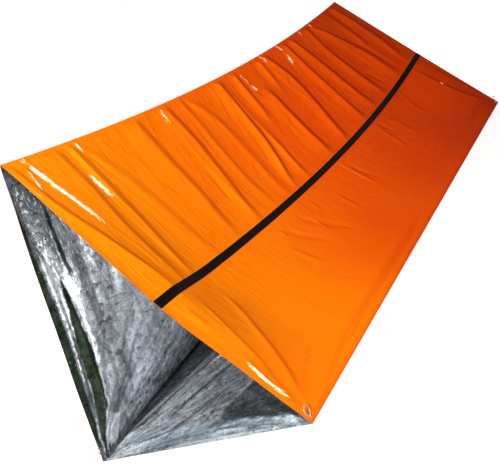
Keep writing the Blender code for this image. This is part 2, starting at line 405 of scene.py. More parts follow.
# The shallow valleys and ridges just above the floor: points, height and width in mm
FOOT_LINES = thousandths(
    (((12, 992), (50, 985), (100, 972), (140, 960), (170, 955), (340, 955), (520, 957)), -2.6, 12),
    (((120, 978), (200, 968), (450, 970)), 1.2, 8),
    (((840, 955), (930, 925), (985, 955)), -2.0, 14),
    (((860, 885), (905, 955)), 1.4, 12),
)


def fold_field(along, down, folds):
    """The panels between the folds: each rises slowly from the fold before it and drops at its own."""
    lengths = [fold[0] for fold in folds]
    field = np.zeros(along.shape)
    for places, drop, width, start, begins, ends in folds:
        middle = smooth_curve(FOLD_DOWNS, places, down)
        half = width * MM / TUBE_LENGTH / 2
        if start is None:
            before = middle - 0.045
        else:
            before = smooth_curve(FOLD_DOWNS, lengths[start], down)
            before = before + folds[start][2] * MM / TUBE_LENGTH / 2
        room = np.maximum(middle - half - before, 0.004)
        part = np.clip((along - before) / room, 0, 1)
        rise = part**3
        over = np.clip((along - middle + half) / (2 * half), 0, 1)
        fall = (1 + np.cos(pi * over)) / 2
        strength = ease((down - begins) / 0.08) * ease((ends - down) / 0.10)
        height = np.minimum(FOLD_SCALE * drop * MM, STEEPEST_PANEL * room * TUBE_LENGTH)
        field += height * strength * np.where(over > 0, fall, rise)
    return field


def jittered(folds, seed):
    """The same kind of folds for the other wall, shifted and scaled so that the walls aren't twins."""
    dice = np.random.default_rng(seed)
    made = []
    shift = 0.0
    for places, drop, width, start, begins, ends in folds:
        shift = np.clip(shift + dice.uniform(-0.006, 0.006), -0.012, 0.012)
        lean = dice.uniform(-0.3, 0.2)
        moved = tuple(p + shift + lean * (p - places[0]) for p in places)
        made.append((moved, drop * dice.uniform(0.7, 1.15), width, start, begins, ends))
    return tuple(made)


def metres(line):
    """A line of (along, down) shares as points on the flat wall."""
    return [(along * TUBE_LENGTH, down * WALL_SIDE) for along, down in line]


def for_side(line, side):
    """A crest's or glint's line, shifted on the left wall so that the walls aren't twins."""
    shift = 0.008 * sin(60 * line[0][0]) if side == LEFT else 0
    return [(along + shift, down) for along, down in line]


def wall_lift(along, down, side):
    """How far the film stands out from the smooth wall."""
    x = along * TUBE_LENGTH
    y = down * WALL_SIDE
    folds = FOLDS if side == RIGHT else jittered(FOLDS, 11)
    top = ease(down / 0.04)
    level = 4 * MM * ease(along / 0.25) * ease((1 - along) / 0.12)
    lift = (fold_field(along, down, folds) - level) * top * (1 - ease((down - 0.40) / 0.17))
    fine = np.zeros(along.shape)
    for line, height, width in CRESTS:
        if side == RIGHT or (len(line) + round(line[0][0] * 1000)) % 2 == 0:
            along_line(fine, x, y, metres(for_side(line, side)), ridge(height * MM, width * MM), 0.03, 0.2)
    for line, height, width in WRINKLES:
        if side == LEFT:
            line = [(a + 0.013 * cos(40 * line[0][0]), d + 0.02 * sin(50 * line[0][0])) for a, d in line]
        along_line(fine, x, y, metres(line), ridge(2.4 * height * MM, 1.4 * width * MM), 0.04, 0.3)
    for line, height, slow, quick in CORNER_CREASES:
        along_line(fine, x, y, metres(line), lopsided(height * MM, slow * MM, quick * MM), 0.15, 0.25)
    for line, height, width in FOOT_LINES:
        along_line(fine, x, y, metres(line), ridge(height * MM, width * MM), 0.05, 0.15)
    seed = 20 if side == RIGHT else 40
    pucker = noise(along * 62, down * 5, seed) + 0.6 * noise(along * 120, down * 9, seed + 1)
    lift = lift + 1.3 * MM * pucker * np.exp(-down / 0.07) * ease(down / 0.012)
    waves = noise(along * 17 + 1.5 * down, down * 2.2, seed + 2)
    lift = lift + 1.1 * MM * waves * ease(down / 0.1) * ease((1 - down) / 0.1)
    broad = noise(along * 4.5, down * 1.7 + 3, seed + 3)
    lift = lift + 3.0 * MM * broad * ease((down - 0.45) / 0.2) * ease((1 - down) / 0.25)
    ends = 0.3 + 0.7 * ease(along / 0.012) * ease((1 - along) / 0.012)
    lift = (lift + fine) * ends * off_corners(along, down)
    return lift * ease(down / 0.008) * ease((1 - down) / 0.012)


def off_corners(along, down):
    """0 at the pegged corners, rising to 1 around them."""
    share = np.ones(along.shape)
    for corner in (0.0, 1.0):
        far = np.hypot((along - corner) * TUBE_LENGTH, (1 - down) * WALL_SIDE)
        share = share * ease((far - 0.022) / 0.05)
    return share


def drawn_out(along, down):
    """What draws the hollow's quick start behind the end edges out over a longer way."""
    return (wall_hollow(along) - eased_hollow(along)) * hang_profile(down) * off_corners(along, down)


def film_painted_light(along, down, lift, side):
    """Painted shade, deeper where a fold turns back, painted light where it rises, and painted highlights,
    paler where the film is creased hardest.
    """
    slope = np.gradient(lift, axis=0) / np.gradient(along * TUBE_LENGTH, axis=0)
    # Painted shade where a fold's slope faces the rear, painted light where it faces the front
    turned = ease(np.clip(-slope / 0.38, 0, 1)) * (0.6 + 0.4 * ease((along - 0.05) / 0.3))
    risen = ease(np.clip(slope / 0.35, 0, 1))
    # Painted highlights: pale streaks along the glint lines, in the fourth channel
    pale = np.zeros(along.shape)
    x = along * TUBE_LENGTH
    y = down * WALL_SIDE
    for line, width, strength in GLINTS:
        shape = ridge(1.15 * strength, width * MM)
        along_line(pale, x, y, metres(for_side(line, side)), shape, 0.04, 0.35)
    # Painted shade along the corner creases, the foot lines and the wrinkles, and in a narrow strip along
    # the foot
    deep = np.zeros(along.shape)
    for line, height, *_ in CORNER_CREASES:
        moved = [(a + 0.0035, d) for a, d in line]
        depth = min(1.5, 0.07 * height**2 + 0.1)
        along_line(deep, x, y, metres(moved), ridge(depth, 7 * MM), 0.04, 0.2)
    for line, *_ in FOOT_LINES:
        along_line(deep, x, y, metres(line), ridge(0.65, 6 * MM), 0.04, 0.15)
    for line, height, _ in WRINKLES:
        moved = [(a + (0.0 if height < 0 else 0.003), d) for a, d in line]
        along_line(deep, x, y, metres(moved), ridge(0.5, 6 * MM), 0.04, 0.3)
    foot = np.exp(-(((1 - down) * WALL_SIDE / 0.006) ** 2))
    deep = np.clip(deep + 1.2 * foot, 0, 1.3)
    # Painted shade: darker and redder towards the bottom and the rear, and less green towards the bottom at
    # the front
    low = ease((down - 0.55) / 0.4) * ease(along / 0.5)
    front = ease((down - 0.70) / 0.25) * (1 - ease(along / 0.18))
    red = (1 - 0.12 * turned) * (1 - 0.10 * low) * (1 - 0.16 * deep)
    risen = risen * (0.3 + 0.7 * ease((along - 0.05) / 0.35))
    green = (1 - 0.30 * turned + 0.30 * risen) * (1 - 0.20 * low) * (1 - 0.36 * deep) * (1 - 0.2 * front)
    return np.stack([red, green, red, np.clip(pale, 0, 1)], -1)


def front_bow(along, down, side):
    """How the front edges hang: the left one almost straight, the right one slack about its middle."""
    shares = (0, 0.1, 0.2, 0.3, 0.4, 0.5, 0.6, 0.7, 0.8, 0.9, 0.96, 1)
    if side == LEFT:
        out = (0, 4, 13, 19, 22, 22, 22, 21, 16, 8, 2, 0)
    else:
        out = (0, 0, -2, -4, -8, -13, -13, -7, -2, -1, 0, 0)
    return smooth_curve(shares, out, down) * MM * (1 - ease(along / 0.04)) * off_corners(along, down)


def front_pleats(along, down):
    """Pleats that hang down the left wall just behind its front edge, which the entrance shows."""
    x = along * TUBE_LENGTH
    y = down * WALL_SIDE
    field = np.zeros(along.shape)
    for line, height, before, after in thousandths(
        (((9.9, 200), (12.3, 500), (8.6, 950)), -3.0, 9, 7),
        (((16.5, 360), (15.8, 600), (14.3, 850), (12, 970)), 3.4, 6, 7),
        (((20.4, 360), (25, 600), (29.3, 850), (20, 970)), -3.6, 8, 8),
        (((30, 120), (30, 340), (31, 550), (36, 760)), 3.2, 7, 12),
        (((40, 220), (46, 500), (52, 800), (40, 930)), -2.4, 12, 10),
        (((62, 220), (68, 360), (78, 600), (90, 800), (60, 920)), 2.6, 12, 10),
        (((100, 300), (110, 600), (130, 860)), -2.0, 16, 14),
    ):
        along_line(field, x, y, metres(line), lopsided(height * MM, before * MM, after * MM), 0.06, 0.2)
    return field * ease(along / 0.004)


# Grids and shells
def spaced(*runs):
    """Grid values from (start, end, step) runs that follow each other."""
    values = [np.linspace(a, b, max(2, round((b - a) / step) + 1))[:-1] for a, b, step in runs]
    return np.concatenate(values + [np.array([runs[-1][1]])])


def with_cell(values, low, high):
    """The same values with one grid cell that spans exactly from low to high."""
    margin = 0.35 * (high - low)
    keep = values[(values < low - margin) | (values > high + margin)]
    return np.sort(np.concatenate([keep, [low, high]]))


def peg_shares():
    """Where each peg stands: its share along, and the shares down the wall where its wire passes."""
    inset = PEG_FROM_END / TUBE_LENGTH
    found = []
    for along in (inset, 1 - inset):
        down = np.linspace(0.9, 1, 2001)
        x = wall_base(np.full(down.shape, along), down)[:, 0]
        middle = floor_width(along) / 2 - PEG_FROM_FOLD
        found.append((along, np.interp(middle - PEG_HOLE, x, down), np.interp(middle + PEG_HOLE, x, down)))
    return found


def cell_at(values, low):
    """The number of the grid cell that begins at low."""
    return int(np.searchsorted(values, low + 1e-9)) - 1


def placed(name, data):
    """A new object in the scene with this mesh, curve, lamp or camera."""
    made = bpy.data.objects.new(name, data)
    bpy.context.scene.collection.objects.link(made)
    return made


def shell(name, outer, inner, holes, sheet_map, painted_light, material):
    """A closed thin piece between two matching grids of points, with the cells in holes left out."""
    rows, columns = outer.shape[:2]
    index = np.arange(rows * columns).reshape(rows, columns)
    present = np.ones((rows - 1, columns - 1), bool)
    for row, column in holes:
        present[row, column] = False
    corners = np.stack([index[:-1, :-1], index[1:, :-1], index[1:, 1:], index[:-1, 1:]], -1)[present]
    # Which way round the faces go is settled by the way from the inner grid to the outer one
    first = outer.reshape(-1, 3)[corners]
    facing = np.cross(first[:, 1] - first[:, 0], first[:, 3] - first[:, 0])
    outwards = (outer - inner).reshape(-1, 3)[corners[:, 0]]
    if (facing * outwards).sum() < 0:
        corners = corners[:, ::-1]
    count = rows * columns
    edges = np.concatenate([corners[:, [i, (i + 1) % 4]] for i in range(4)])
    keys = edges[:, 0].astype(np.int64) * count + edges[:, 1]
    back = edges[:, 1].astype(np.int64) * count + edges[:, 0]
    rim = edges[~np.isin(keys, back)]
    walls = np.stack([rim[:, 1], rim[:, 0], rim[:, 0] + count, rim[:, 1] + count], -1)
    faces = np.concatenate([corners, corners[:, ::-1] + count, walls])
    points = np.concatenate([outer.reshape(-1, 3), inner.reshape(-1, 3)])
    used = np.zeros(2 * count, bool)
    used[faces.reshape(-1)] = True
    renumber = np.cumsum(used) - 1
    faces = renumber[faces]
    mesh = bpy.data.meshes.new(name)
    mesh.from_pydata(points[used].tolist(), [], faces.tolist())
    mesh.update()
    flat = np.concatenate([sheet_map.reshape(-1, 2)] * 2)[used]
    layer = mesh.uv_layers.new(name="sheet")
    layer.data.foreach_set("uv", flat[faces.reshape(-1)].astype(np.float32).reshape(-1))
    # The painted light rides on the mesh as a colour attribute: painted shade and reflections in its colour,
    # painted highlights in its fourth channel
    if painted_light is not None:
        colours = np.concatenate([painted_light.reshape(-1, 4)] * 2)[used]
        layer = mesh.color_attributes.new(name="painted_light", type="FLOAT_COLOR", domain="POINT")
        layer.data.foreach_set("color", colours.astype(np.float32).reshape(-1))
    mesh.shade_smooth()
    mesh.set_sharp_from_angle(angle=radians(60))
    mesh.materials.append(material)
    return placed(name, mesh)


def wall_grid(side):
    """A wall's grid shares, finer where the photograph shows more, and its cells with peg holes."""
    if side == RIGHT:
        along = spaced((0, 0.07, 0.0009), (0.07, 0.13, 0.0018), (0.13, 1, 0.00255))
    else:
        along = spaced((0, 0.06, 0.0008), (0.06, 0.14, 0.0016), (0.14, 0.45, 0.0022), (0.45, 1, 0.0033))
    down = spaced((0, 0.06, 0.006), (0.06, 0.95, 0.0105), (0.95, 1, 0.0071))
    pegs = peg_shares()
    half = PEG_HOLE / TUBE_LENGTH
    for at, low, high in pegs:
        along = with_cell(along, at - half, at + half)
    # Both ends' holes share one pair of rows, which take the wider of the two
    low = min(peg[1] for peg in pegs)
    high = max(peg[2] for peg in pegs)
    down = with_cell(down, low, high)
    return along, down, [(cell_at(along, at - half), cell_at(down, low)) for at, _, _ in pegs]


def crumple(x, y, seed):
    """The foil's crumpled relief in metres, for flat coordinates in metres."""
    warp = 0.006 * noise(x / 0.05, y / 0.05, seed)
    large = creased((x + warp) / 0.060, y / 0.045, seed + 1)
    middle = creased(x / 0.026, (y - warp) / 0.022, seed + 2)
    small = creased(x / 0.012, y / 0.014, seed + 3)
    return MM * (0.9 * large + 0.55 * middle + 0.25 * small)


def off_ends(along):
    """0 at the front and rear edges, rising to 1 within 12 mm."""
    return ease(along * TUBE_LENGTH / 0.012) * ease((1 - along) * TUBE_LENGTH / 0.012)


def sided(grid, side):
    """The grid on its own side of the middle plane, and never across it."""
    grid = grid.copy()
    grid[..., 0] = np.maximum(grid[..., 0], HAIR) * side
    return grid


def crossing_rows(top, normal):
    """The rows that carry a wall's top row over the ridge to the middle, as points and normals."""
    normal = normal * np.array([1, 0, 1])
    normal /= np.linalg.norm(normal, axis=-1, keepdims=True)
    radius = top[:, 0] / normal[:, 0]
    centre = top - radius[:, None] * normal
    start = np.arctan2(normal[:, 2], normal[:, 0])
    rows = []
    ways = []
    for part in (1.0, 0.72, 0.44, 0.2):
        angle = start + (pi / 2 - start) * part
        ways.append(np.stack([np.cos(angle), 0 * angle, np.sin(angle)], -1))
        rows.append(centre + radius[:, None] * ways[-1])
    return np.stack(rows, 1), np.stack(ways, 1)


def build_wall(side, materials):
    """A wall's film and foil, which share one surface midway between them, and the film's band."""
    hand = "right" if side == RIGHT else "left"
    along, down, holes = wall_grid(side)
    a, d = np.meshgrid(along, down, indexing="ij")
    outwards = grid_normals(wall_base(a, d))
    lift = wall_lift(a, d, side)
    if side == LEFT:
        lift = lift + front_pleats(a, d)
    # Painted shade and highlights for the film, worked out from its folds before the drawn-out hollow is
    # added
    shift = film_painted_light(a, d, lift, side)
    lift = lift + drawn_out(a, d)
    surface = wall_base(a, d, front_bow(a, d, side)) + outwards * lift[..., None]
    cap, cap_normals = crossing_rows(surface[:, 0], outwards[:, 0])
    extra = cap.shape[1]
    holes = [(row, column + extra) for row, column in holes]
    points = np.concatenate([cap, surface], 1)
    normals = np.concatenate([cap_normals, grid_normals(surface)], 1)
    length = wall_length(a[:, :1])
    flat = np.stack([a * TUBE_LENGTH, d * length], -1)
    cap_flat = np.repeat(flat[:, :1], extra, 1)
    cap_flat[..., 1] -= np.array([0.0012, 0.0009, 0.0006, 0.0003])
    flat = np.concatenate([cap_flat, flat], 1)

    # The film turns under at its foot to meet the floor's edge
    half = floor_width(along) / 2
    y = TUBE_LENGTH * (along - 0.5)

    def with_tuck(grid, offsets):
        """The grid with rows at these ways out and up from the floor's side."""
        tuck = [np.stack([half + x, y, 0 * y + z], -1) for x, z in offsets]
        return sided(np.concatenate([grid, np.stack(tuck, 1)], 1), side)

    film_out = with_tuck(points + normals * (PLY_GAP / 2 + PLY_THICKNESS), FILM_TUCK_OUT)
    film_in = with_tuck(points + normals * PLY_GAP / 2, FILM_TUCK_IN)
    tuck_flat = np.repeat(flat[:, -1:], 3, 1) + np.array([[0, 0.0008], [0, 0.0014], [0, 0.002]])
    shift = np.concatenate([shift[:, :1]] * extra + [shift] + [shift[:, -1:]] * 3, 1)
    film = shell(f"{hand}_film_wall", film_out, film_in, holes, np.concatenate([flat, tuck_flat], 1),
                 shift, materials["film"])
    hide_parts(f"{hand}_wall_film")

    # The foil's inner face carries the crumple, which only stands inwards
    start = 0 if side == RIGHT else LEFT_CRUMPLE_FROM
    relief = crumple(flat[..., 0] + start, flat[..., 1], 60 + side)
    grown = ease(flat[..., 1] / 0.02) * ease((length - flat[..., 1]) / 0.02)
    relief = (relief - relief.min()) * grown * off_ends(a[:, :1])

    def with_foot(grid):
        """The grid with a row that ends it just above the floor's foil."""
        foot = grid[:, -1:].copy()
        foot[..., 2] = PLY_THICKNESS + PLY_GAP + FOIL_THICKNESS + FOIL_FOOT_OFF
        return sided(np.concatenate([grid, foot], 1), side)

    foil_out = with_foot(points - normals * PLY_GAP / 2)
    foil_in = with_foot(points - normals * (PLY_GAP / 2 + FOIL_THICKNESS + relief[..., None]))
    # Painted reflections, shade and highlights for the foil
    painted_light = wall_foil_painted_light(flat[..., 0] / TUBE_LENGTH, flat[..., 1] / length, side)
    foil = shell(f"{hand}_foil_wall", foil_out, foil_in, holes,
                 np.concatenate([flat, flat[:, -1:] + np.array([0, 0.0006])], 1),
                 np.concatenate([painted_light, painted_light[:, -1:]], 1), materials["foil"])
    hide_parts(f"{hand}_wall_foil")

    # The black band follows the same surface, a hair outside the film
    shares = np.linspace(-1, 1, 7)
    width = STRIPE_WIDTH / wall_length(0.0) / 2
    a = np.repeat(along[:, None], len(shares), 1)
    d = stripe_share(along)[:, None] + shares[None, :] * width
    lift = np.stack([np.interp(at, down, row) for at, row in zip(d, lift)])
    band = wall_base(a, d, front_bow(a, d, side)) + grid_normals(wall_base(a, d)) * lift[..., None]
    outwards = grid_normals(band)
    low = PLY_GAP / 2 + PLY_THICKNESS + BAND_OFF
    high = low + STRIPE_THICKNESS / 2 + BAND_CROWN * (1 - shares**4)
    flat = np.stack([a * TUBE_LENGTH, 0 * a + shares * STRIPE_WIDTH / 2], -1)
    stripe = shell(f"{hand}_band", sided(band + outwards * high[:, None], side),
                   sided(band + outwards * low, side), (), flat, None, materials["band"])
    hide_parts(f"{hand}_stripe")
    return film, foil, stripe


# Painted reflections, shade and highlights, as the photograph shows them on the foil inside: thousandths
# along and down, or along and across
def band_at(along, down, rows, soft):
    """1 inside a band whose edges are given at rows of (down, from, to) in thousandths, softly edged."""
    downs, low, high = (np.array(rows) / 1000).T
    low = np.interp(down, downs, low)
    high = np.interp(down, downs, high)
    inside = ease((along - low) / soft + 0.5) * ease((high - along) / soft + 0.5)
    ends = ease((down - downs[0]) / 0.07 + 0.5) * ease((downs[-1] - down) / 0.07 + 0.5)
    return inside * ends


def with_painted_shine(colours, painted_shine):
    """The colours with the painted highlights as their fourth channel."""
    return np.concatenate([colours, np.clip(painted_shine, 0, 1)[..., None]], -1)


def rays(from_x, from_y, seed):
    """Streaks that radiate from a corner, about -1 to 1, fading away from it."""
    far = np.hypot(from_x, from_y) + 1e-6
    turn = np.arctan2(from_y, from_x)
    streaks = noise(turn * 13 + 40, far * 2.2, seed) + 0.6 * noise(turn * 31 + 40, far * 5, seed + 1)
    streaks = streaks + 0.5 * noise(turn * 64 + 40, far * 11, seed + 20)
    return streaks * np.exp(-far / 0.55)


def wall_foil_painted_light(along, down, side):
    """How the foil's silver is darkened or brightened by painted reflections, shade and highlights, as a
    colour to multiply with.
    """
    painted_light = np.ones(along.shape + (3,))
    # Painted shade: the right wall's foil goes almost black within 6 mm of its front and rear edges
    if side == RIGHT:
        edge = ease(np.minimum(along, 1 - along) * TUBE_LENGTH / 0.006)
        return with_painted_shine(painted_light * (0.06 + 0.94 * edge)[..., None], np.zeros(along.shape))
    # Painted reflections: dark green bands down the left wall's foil near its front edge, with wandering
    # edges
    green = np.array([0.022, 0.056, 0.012])
    dark = np.zeros(along.shape)
    straight = down
    along = along + 0.0010 * noise(down * 9, along * 30, 74) + 0.0010 * noise(down * 34, along * 90, 75)
    down = down + 0.03 * noise(along * 70, down * 3, 76)
    for rows in (
        ((120, -9, 2), (230, -9, 4), (330, -9, 5.2), (420, -9, 7.2),
         (600, -9, 9), (810, -9, 8.2), (910, -9, 6.6), (970, -9, 3)),
        ((360, 21.3, 23), (430, 18.9, 25), (520, 17.9, 26.7), (630, 15.5, 31.4),
         (700, 16.8, 29.9), (830, 14.9, 30.7), (920, 12.4, 22), (980, 8, 11)),
        ((120, 33, 37), (220, 31, 36), (360, 33, 38)),
    ):
        dark = np.maximum(dark, band_at(along, down, rows, 0.0016))
    dark = dark * (0.94 + 0.06 * noise(along * 90, down * 14, 71))
    painted_light = painted_light * (1 - dark[..., None]) + green * dark[..., None]
    # Painted shade along lines in the lower front of the wall and along its foot
    grey = np.zeros(along.shape)
    x = along * TUBE_LENGTH
    y = straight * WALL_SIDE
    for line, width in thousandths(
        (((68, 660), (72, 740), (80, 810)), 10),
        (((57, 820), (62, 850), (66, 890)), 12),
        (((105, 860), (150, 930), (200, 970)), 16),
        (((50, 1000), (150, 995), (300, 985), (450, 985)), 34),
    ):
        along_line(grey, x, y, metres(line), ridge(1.0, width * MM), 0.09)
    # Painted shade: darker near the front and rear edges and towards the ridge, with painted reflections
    # streaking out from the front foot corner
    from_end = np.minimum(along, 1 - along)
    streaks = rays(x, WALL_SIDE - y, 73)
    shade = (1 - 0.55 * np.clip(grey, 0, 1)) * (0.46 + 0.66 * ease((from_end - 0.015) / 0.09))
    shade = shade * (0.62 + 0.38 * ease((straight - 0.12) / 0.24)) * np.clip(1 + 0.8 * streaks, 0.25, 1.5)
    painted_light = painted_light * shade[..., None]
    # Painted highlights: white bands near the front edge, a patch by the front foot corner, flecks in the
    # upper front, and the brighter streaks
    bright = np.zeros(along.shape)
    for rows in (
        ((260, 7.7, 13.6), (350, 7.9, 22.9), (420, 10.8, 18.7), (560, 13.4, 17)),
        ((380, 8, 12), (500, 9.4, 14.2), (600, 10.4, 13.8), (750, 9.6, 11.2)),
        ((840, 10, 13.1), (970, 5, 8)),
        ((310, 32, 42), (370, 23, 46), (430, 26, 37), (520, 26.7, 35),
         (640, 31, 37.5), (720, 30, 33.5), (840, 31.5, 34.5)),
        ((240, 62, 70), (300, 66, 76)),
        ((360, 79, 82), (470, 81, 84)),
    ):
        bright = np.maximum(bright, band_at(along, down, rows, 0.003))
    corner = band_at(along, down, ((860, 30, 44), (910, 26, 50), (985, 12, 36)), 0.003)
    bright = np.maximum(bright, 1.5 * corner)
    flecked = band_at(along, down, ((60, 3, 22), (160, 4, 50), (240, 6, 64),
                                    (330, 6, 80), (400, 8, 105), (460, 30, 110)), 0.006)
    bright = np.maximum(bright, 0.56 * flecked * (0.8 + 0.3 * noise(along * 55, down * 9, 78)))
    return with_painted_shine(painted_light, (0.72 * bright + 0.7 * np.maximum(streaks - 0.1, 0)) * (1 - dark))


def on_floor(line):
    """A line of (along, across) shares as points on the floor."""
    return [(s * (FRONT_FLOOR_WIDTH + FLOOR_SPREAD * a) / 2, (a - 0.5) * TUBE_LENGTH) for a, s in line]


def floor_lift(x, y):
    """Folds of the floor that run in from its corners and along its middle, never below it."""
    along = y / TUBE_LENGTH + 0.5
    field = np.zeros(x.shape)
    for line, height, before, after in thousandths(
        (((4, -960), (80, -800), (140, -650), (200, -500), (300, -360)), 9.0, 12, 16),
        (((30, -930), (100, -550), (140, -450), (180, -320), (260, -180)), 6.0, 14, 18),
        (((3, -930), (20, -780), (35, -620), (45, -450)), 5.0, 9, 9),
        (((12, -860), (30, -450), (55, -200), (60, -150), (100, -80)), 4.0, 8, 10),
        (((3, 960), (20, 760), (32, 400), (40, 200), (70, 30)), 6.0, 10, 16),
        (((6, 940), (40, 550), (55, 450), (90, 250), (160, 50)), 5.0, 12, 14),
        (((10, 950), (100, 620), (200, 420), (320, 300)), 5.0, 16, 18),
        (((20, 100), (13, 450), (5, 800)), 3.0, 8, 8),
        (((995, 960), (930, 750), (850, 520), (760, 380)), 7.0, 14, 18),
        (((995, -960), (920, -780), (830, -580), (740, -420)), 7.0, 16, 14),
        (((985, 930), (960, 500), (950, 100)), 4.0, 12, 14),
        (((988, -940), (965, -550), (950, -120)), 4.0, 12, 14),
    ):
        shape = lopsided(height * MM, before * MM, after * MM)
        along_line(field, x, y, on_floor(line), shape, 0.12, 0.12)
    field += 2.2 * MM * np.maximum(noise(x / 0.19, y / 0.33, 81) + 0.25, 0)
    field += 1.2 * MM * np.maximum(noise(x / 0.07, y / 0.12, 82), 0)
    edge = floor_width(along) / 2 - np.abs(x)
    end = TUBE_LENGTH / 2 - np.abs(y)
    fade = ease((edge - 0.004) / 0.035) * (0.35 + 0.65 * ease(end / 0.03))
    for side in (-1, 1):
        for a in (0, 1):
            corner = np.hypot(x - side * floor_width(a) / 2, y - (a - 0.5) * TUBE_LENGTH)
            fade = fade * ease((corner - 0.024) / 0.05)
    return np.maximum(field, 0) * fade


def floor_foil_painted_light(x, y):
    """How the floor's silver is darkened or brightened by painted reflections, shade and highlights, as a
    colour to multiply with.
    """
    along = y / TUBE_LENGTH + 0.5
    across = x / (floor_width(along) / 2)
    # Painted shade: darker lines that run in from the front left corner
    dark = np.zeros(x.shape)
    bright = np.zeros(x.shape)
    for line, width in thousandths(
        (((0, -980), (20, -940), (40, -920)), 6),
        (((40, -860), (80, -780), (140, -660), (200, -530), (280, -400)), 10),
        (((60, -560), (100, -470), (150, -330), (200, -160)), 10),
        (((40, -400), (70, -240), (120, -60)), 8),
    ):
        along_line(dark, x, y, on_floor(line), ridge(1.0, width * MM), 0.12, 0.1)
    # Painted shade: a darker ragged band across the right of the floor near the front, a darker wedge along
    # the left edge and a dimmer patch in the middle near the front
    ragged = along + 0.003 * noise(across * 9, along * 40, 83)
    gloom = band_at(ragged, across, ((80, 45, 70), (160, 36, 105), (310, 31, 170), (550, 24, 170),
                                     (750, 18, 120), (920, 11.5, 20)), 0.005)
    wedge = band_at(across, along, ((0, -1100, -970), (87.5, -1100, -900), (160, -1100, -770),
                                    (250, -1100, -600), (400, -1100, -500)), 0.05)
    dark = np.maximum(np.maximum(dark, gloom), 0.85 * wedge)
    dim = band_at(ragged, across, ((-300, 62, 100), (-50, 60, 140), (120, 66, 160)), 0.03)
    dark = np.maximum(dark, 0.5 * dim)
    # Painted highlights: pale lines near the front left corner and along the front edge
    for line, width in thousandths(
        (((30, -940), (122.8, -796), (160.6, -666), (208.8, -447), (240, -340)), 10),
        (((20, -820), (65.7, -668), (126.5, -537), (178.4, -280)), 8),
        (((30, -520), (62.2, -340), (87.9, -264), (117.5, -149)), 8),
        (((1, -930), (14, -818), (21.3, -688), (23.1, -536)), 9),
        (((1, -900), (6, -700), (9, -450)), 6),
        (((4, -300), (5, 200), (3, 800)), 5),
        (((15, 200), (16, 500), (10, 850)), 6),
        (((12, 920), (31, 600), (46, 500)), 9),
        (((30, 560), (34, 660), (24, 800)), 7),
    ):
        along_line(bright, x, y, on_floor(line), ridge(1.0, width * MM), 0.05, 0.12)
    # Painted reflection: a green tint along the front edge, on the right half
    green = band_at(across, along, ((12, 250, 750), (34, 280, 720)), 0.08)
    painted_light = np.ones(x.shape + (3,)) * (1 - 0.78 * np.clip(dark, 0, 1))[..., None]
    # Painted reflections streaking out from both front corners
    streaks = rays(y + TUBE_LENGTH / 2, x + FRONT_FLOOR_WIDTH / 2, 75)
    streaks = streaks + 0.6 * rays(y + TUBE_LENGTH / 2, FRONT_FLOOR_WIDTH / 2 - x, 77)
    streaks = np.tanh(2.0 * streaks)
    painted_light = painted_light * np.clip(1 + 0.6 * streaks, 0.2, 1.6)[..., None]
    painted_light = painted_light * (1 - 0.35 * green[..., None] * np.array([1.0, 0.7, 1.0]))
    # Less red and a little less green within about 5 cm of the front edge
    painted_light = painted_light * (1 - 0.10 * ease((0.05 - along) / 0.02)[..., None] * np.array([1.4, 0.4, 0.0]))
    # Painted shade: darker deeper inside the tent, towards the rear
    deep = ease((along - 0.05) / 0.25)
    painted_light = painted_light * (1.04 - 0.60 * deep)[..., None]
    # Painted highlights along the pale lines and the brighter streaks, strongest near the front left corner
    near_corner = np.exp(-np.hypot(y + TUBE_LENGTH / 2, x + FRONT_FLOOR_WIDTH / 2) / 0.22)
    painted_shine = 0.85 * np.clip(bright, 0, 1) + (0.6 + 1.3 * near_corner) * np.maximum(streaks - 0.2, 0)
    return with_painted_shine(painted_light, painted_shine * (1 - 0.7 * np.clip(dark, 0, 1)))


def build_floor(materials):
    """The floor's film on the ground and its foil above, on one grid."""
    along = spaced((0, 0.06, 0.0013), (0.06, 0.14, 0.0020), (0.14, 0.32, 0.0030), (0.32, 0.9, 0.0070),
                   (0.9, 1, 0.004))
    across = spaced((-1, -0.93, 0.008), (-0.93, -0.55, 0.0095), (-0.55, 0.93, 0.0135), (0.93, 1, 0.01))
    half = PEG_HOLE / TUBE_LENGTH
    stations = (PEG_FROM_END / TUBE_LENGTH, 1 - PEG_FROM_END / TUBE_LENGTH)
    edges = [floor_width(at) / 2 for at in stations]
    low = min((edge - PEG_FROM_FOLD - PEG_HOLE) / edge for edge in edges)
    high = max((edge - PEG_FROM_FOLD + PEG_HOLE) / edge for edge in edges)
    across = with_cell(with_cell(across, low, high), -high, -low)
    for at in stations:
        along = with_cell(along, at - half, at + half)
    holes = [(cell_at(along, at - half), cell_at(across, start))
             for at in stations for start in (low, -high)]
    a, s = np.meshgrid(along, across, indexing="ij")
    y = TUBE_LENGTH * (a - 0.5)

    def level(half_width, height, lift):
        return np.stack([s * half_width, y, height + lift], -1)

    film_half = floor_width(a) / 2 + FLOOR_FILM_OUT
    foil_half = floor_width(a) / 2 - FLOOR_FOIL_IN
    lift = floor_lift(s * foil_half, y)
    flat = np.stack([y + TUBE_LENGTH / 2, s * floor_width(a) / 2 + FLOOR_SHEET_FROM], -1)
    # Painted highlight: a pale line along the front edge of the floor's film, in the fourth channel
    rim = np.ones(flat.shape[:2] + (4,))
    rim[..., 3] = 1 - ease(a * TUBE_LENGTH / 0.003)
    film = shell("film_floor", level(film_half, PLY_THICKNESS, lift), level(film_half, HAIR, lift),
                 holes, flat, rim, materials["film"])
    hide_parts("floor_film")
    relief = crumple(flat[..., 0] + FLOOR_CRUMPLE_FROM, flat[..., 1], 90)
    relief = (relief - relief.min()) * ease((foil_half - np.abs(s) * foil_half) / 0.02) * off_ends(a)
    bottom = PLY_THICKNESS + PLY_GAP
    foil = shell("foil_floor", level(foil_half, bottom + FOIL_THICKNESS, lift + relief),
                 level(foil_half, bottom, lift), holes, flat, floor_foil_painted_light(s * foil_half, y),
                 materials["foil"])
    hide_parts("floor_foil")
    return film, foil


